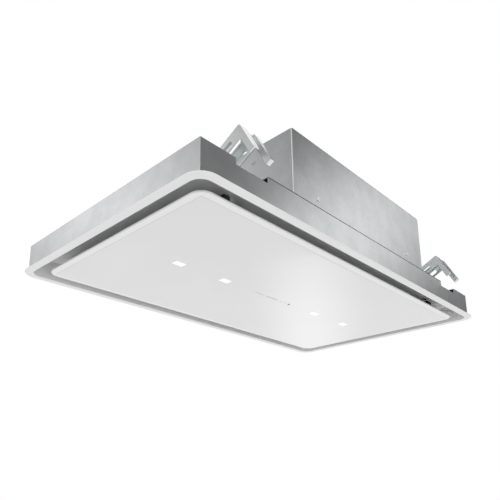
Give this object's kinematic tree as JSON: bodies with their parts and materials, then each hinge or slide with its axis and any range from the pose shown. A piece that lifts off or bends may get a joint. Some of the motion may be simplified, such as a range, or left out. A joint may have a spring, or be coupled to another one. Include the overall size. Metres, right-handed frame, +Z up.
{
  "type": "ceiling range hood insert",
  "caption": "Flush ceiling extractor: white frame, hinged glass cover with lamps, sheet-metal casing, blower box, side duct outlet and tilting clamp brackets.",
  "frame": {"origin": "middle of the object's footprint, at the lower face of the ceiling frame", "axes": "+Z up into the ceiling, +X along the long side, +Y towards the hinges"},
  "size_m": [0.9, 0.5152, 0.19],
  "materials": {
    "galvanised": "spangled zinc coat",
    "bright_zinc": "bright zinc coat",
    "white_paint": "smooth satin white",
    "guide_coat": "smooth matt",
    "tray_steel": "satin",
    "zinc": "bright",
    "grey_plastic": "matt",
    "black_plastic": "matt",
    "black_rubber": "matt",
    "motor_metal": "cast",
    "filter_aluminium": "satin",
    "lamp_aluminium": "satin",
    "white_glass": "opaque white, gloss",
    "lamp_lens": "frosted",
    "board": "printed board"
  },
  "bodies": {
    "housing": {"casing": "galvanised", "ceiling_frame": "white_paint", "frame_rivets": "zinc", "air_guide": "guide_coat", "grease_filter_left": "filter_aluminium", "grease_filter_right": "filter_aluminium", "blower_box": "galvanised", "box_lid": "galvanised", "box_screws": "zinc", "box_grommet": "grey_plastic", "fan_base": "galvanised", "inlet_ring": "black_plastic", "fan_scroll": "black_plastic", "fan_motor": "motor_metal", "motor_bracket": "galvanised", "motor_bushes": "black_rubber", "outlet_adaptor": "black_plastic", "flap_axle": "zinc", "control_module": "black_plastic", "cable_gland": "black_plastic", "hinge_bracket_left": "tray_steel", "hinge_bracket_right": "tray_steel", "catch_left": "black_plastic", "catch_right": "black_plastic", "bracket_posts": "galvanised", "post_screws": "zinc"},
    "panel": {"cover_glass": "white_glass", "cover_tray": "tray_steel", "touch_board": "board", "strikers": "tray_steel", "hinge_arm_left": "black_plastic", "hinge_arm_right": "black_plastic", "hinge_pin_left": "zinc", "hinge_pin_right": "zinc", "lamp_lens_1": "lamp_lens", "lamp_lens_2": "lamp_lens", "lamp_lens_3": "lamp_lens", "lamp_lens_4": "lamp_lens", "lamp_module_1": "lamp_aluminium", "lamp_module_2": "lamp_aluminium", "lamp_module_3": "lamp_aluminium", "lamp_module_4": "lamp_aluminium"},
    "fan_rotor": {"fan_wheel": "black_plastic", "fan_shaft": "zinc"},
    "flap_back_body": {"flap_back": "black_plastic"},
    "flap_front_body": {"flap_front": "black_plastic"},
    "latch_left": {"filter_latch_left": "black_plastic"},
    "latch_right": {"filter_latch_right": "black_plastic"},
    "swivel_back_left": {"pivot_bolt_back_left": "zinc"},
    "clamp_back_left": {"bracket_back_left": "bright_zinc"},
    "swivel_back_right": {"pivot_bolt_back_right": "zinc"},
    "clamp_back_right": {"bracket_back_right": "bright_zinc"},
    "swivel_front_left": {"pivot_bolt_front_left": "zinc"},
    "clamp_front_left": {"bracket_front_left": "bright_zinc"},
    "swivel_front_right": {"pivot_bolt_front_right": "zinc"},
    "clamp_front_right": {"bracket_front_right": "bright_zinc"}
  },
  "joints": [
    {"name": "panel_swing", "type": "hinge", "parent": "housing", "child": "panel", "pos_m": [0, 0.188, 0.018], "axis": [1, 0, 0], "range_deg": [0, 90]},
    {"name": "fan_spin", "type": "hinge", "parent": "housing", "child": "fan_rotor", "pos_m": [-0.0082, -0.075, 0.1], "axis": [0, 0, 1], "continuous": true},
    {"name": "flap_back_swing", "type": "hinge", "parent": "housing", "child": "flap_back_body", "pos_m": [-0.2909, 0.05, 0.1225], "axis": [0, 0, 1], "range_deg": [0, 75], "stiffness_Nm_per_rad": 0.004, "springref_deg": -17.19},
    {"name": "flap_front_swing", "type": "hinge", "parent": "housing", "child": "flap_front_body", "pos_m": [-0.2909, 0.05, 0.1225], "axis": [0, 0, -1], "range_deg": [0, 75], "stiffness_Nm_per_rad": 0.004, "springref_deg": -17.19},
    {"name": "latch_left_slide", "type": "slide", "parent": "housing", "child": "latch_left", "axis": [0, 1, 0], "range_m": [0, 0.006], "stiffness_N_per_m": 250, "springref_m": -0.002},
    {"name": "latch_right_slide", "type": "slide", "parent": "housing", "child": "latch_right", "axis": [0, 1, 0], "range_m": [0, 0.006], "stiffness_N_per_m": 250, "springref_m": -0.002},
    {"name": "clamp_back_left_swing", "type": "hinge", "parent": "housing", "child": "swivel_back_left", "pos_m": [0.3325, 0.17819, 0.08697], "axis": [1, 0, 0], "range_deg": [-12, 10]},
    {"name": "clamp_back_left_slide", "type": "slide", "parent": "swivel_back_left", "child": "clamp_back_left", "axis": [0, 0.8829, 0.4695], "range_m": [-0.016, 0.005]},
    {"name": "clamp_back_right_swing", "type": "hinge", "parent": "housing", "child": "swivel_back_right", "pos_m": [-0.3325, 0.17819, 0.08697], "axis": [1, 0, 0], "range_deg": [-12, 10]},
    {"name": "clamp_back_right_slide", "type": "slide", "parent": "swivel_back_right", "child": "clamp_back_right", "axis": [0, 0.8829, 0.4695], "range_m": [-0.016, 0.005]},
    {"name": "clamp_front_left_swing", "type": "hinge", "parent": "housing", "child": "swivel_front_left", "pos_m": [0.3325, -0.17819, 0.08697], "axis": [-1, 0, 0], "range_deg": [-12, 10]},
    {"name": "clamp_front_left_slide", "type": "slide", "parent": "swivel_front_left", "child": "clamp_front_left", "axis": [0, -0.8829, 0.4695], "range_m": [-0.016, 0.005]},
    {"name": "clamp_front_right_swing", "type": "hinge", "parent": "housing", "child": "swivel_front_right", "pos_m": [-0.3325, -0.17819, 0.08697], "axis": [-1, 0, 0], "range_deg": [-12, 10]},
    {"name": "clamp_front_right_slide", "type": "slide", "parent": "swivel_front_right", "child": "clamp_front_right", "axis": [0, -0.8829, 0.4695], "range_m": [-0.016, 0.005]}
  ]
}
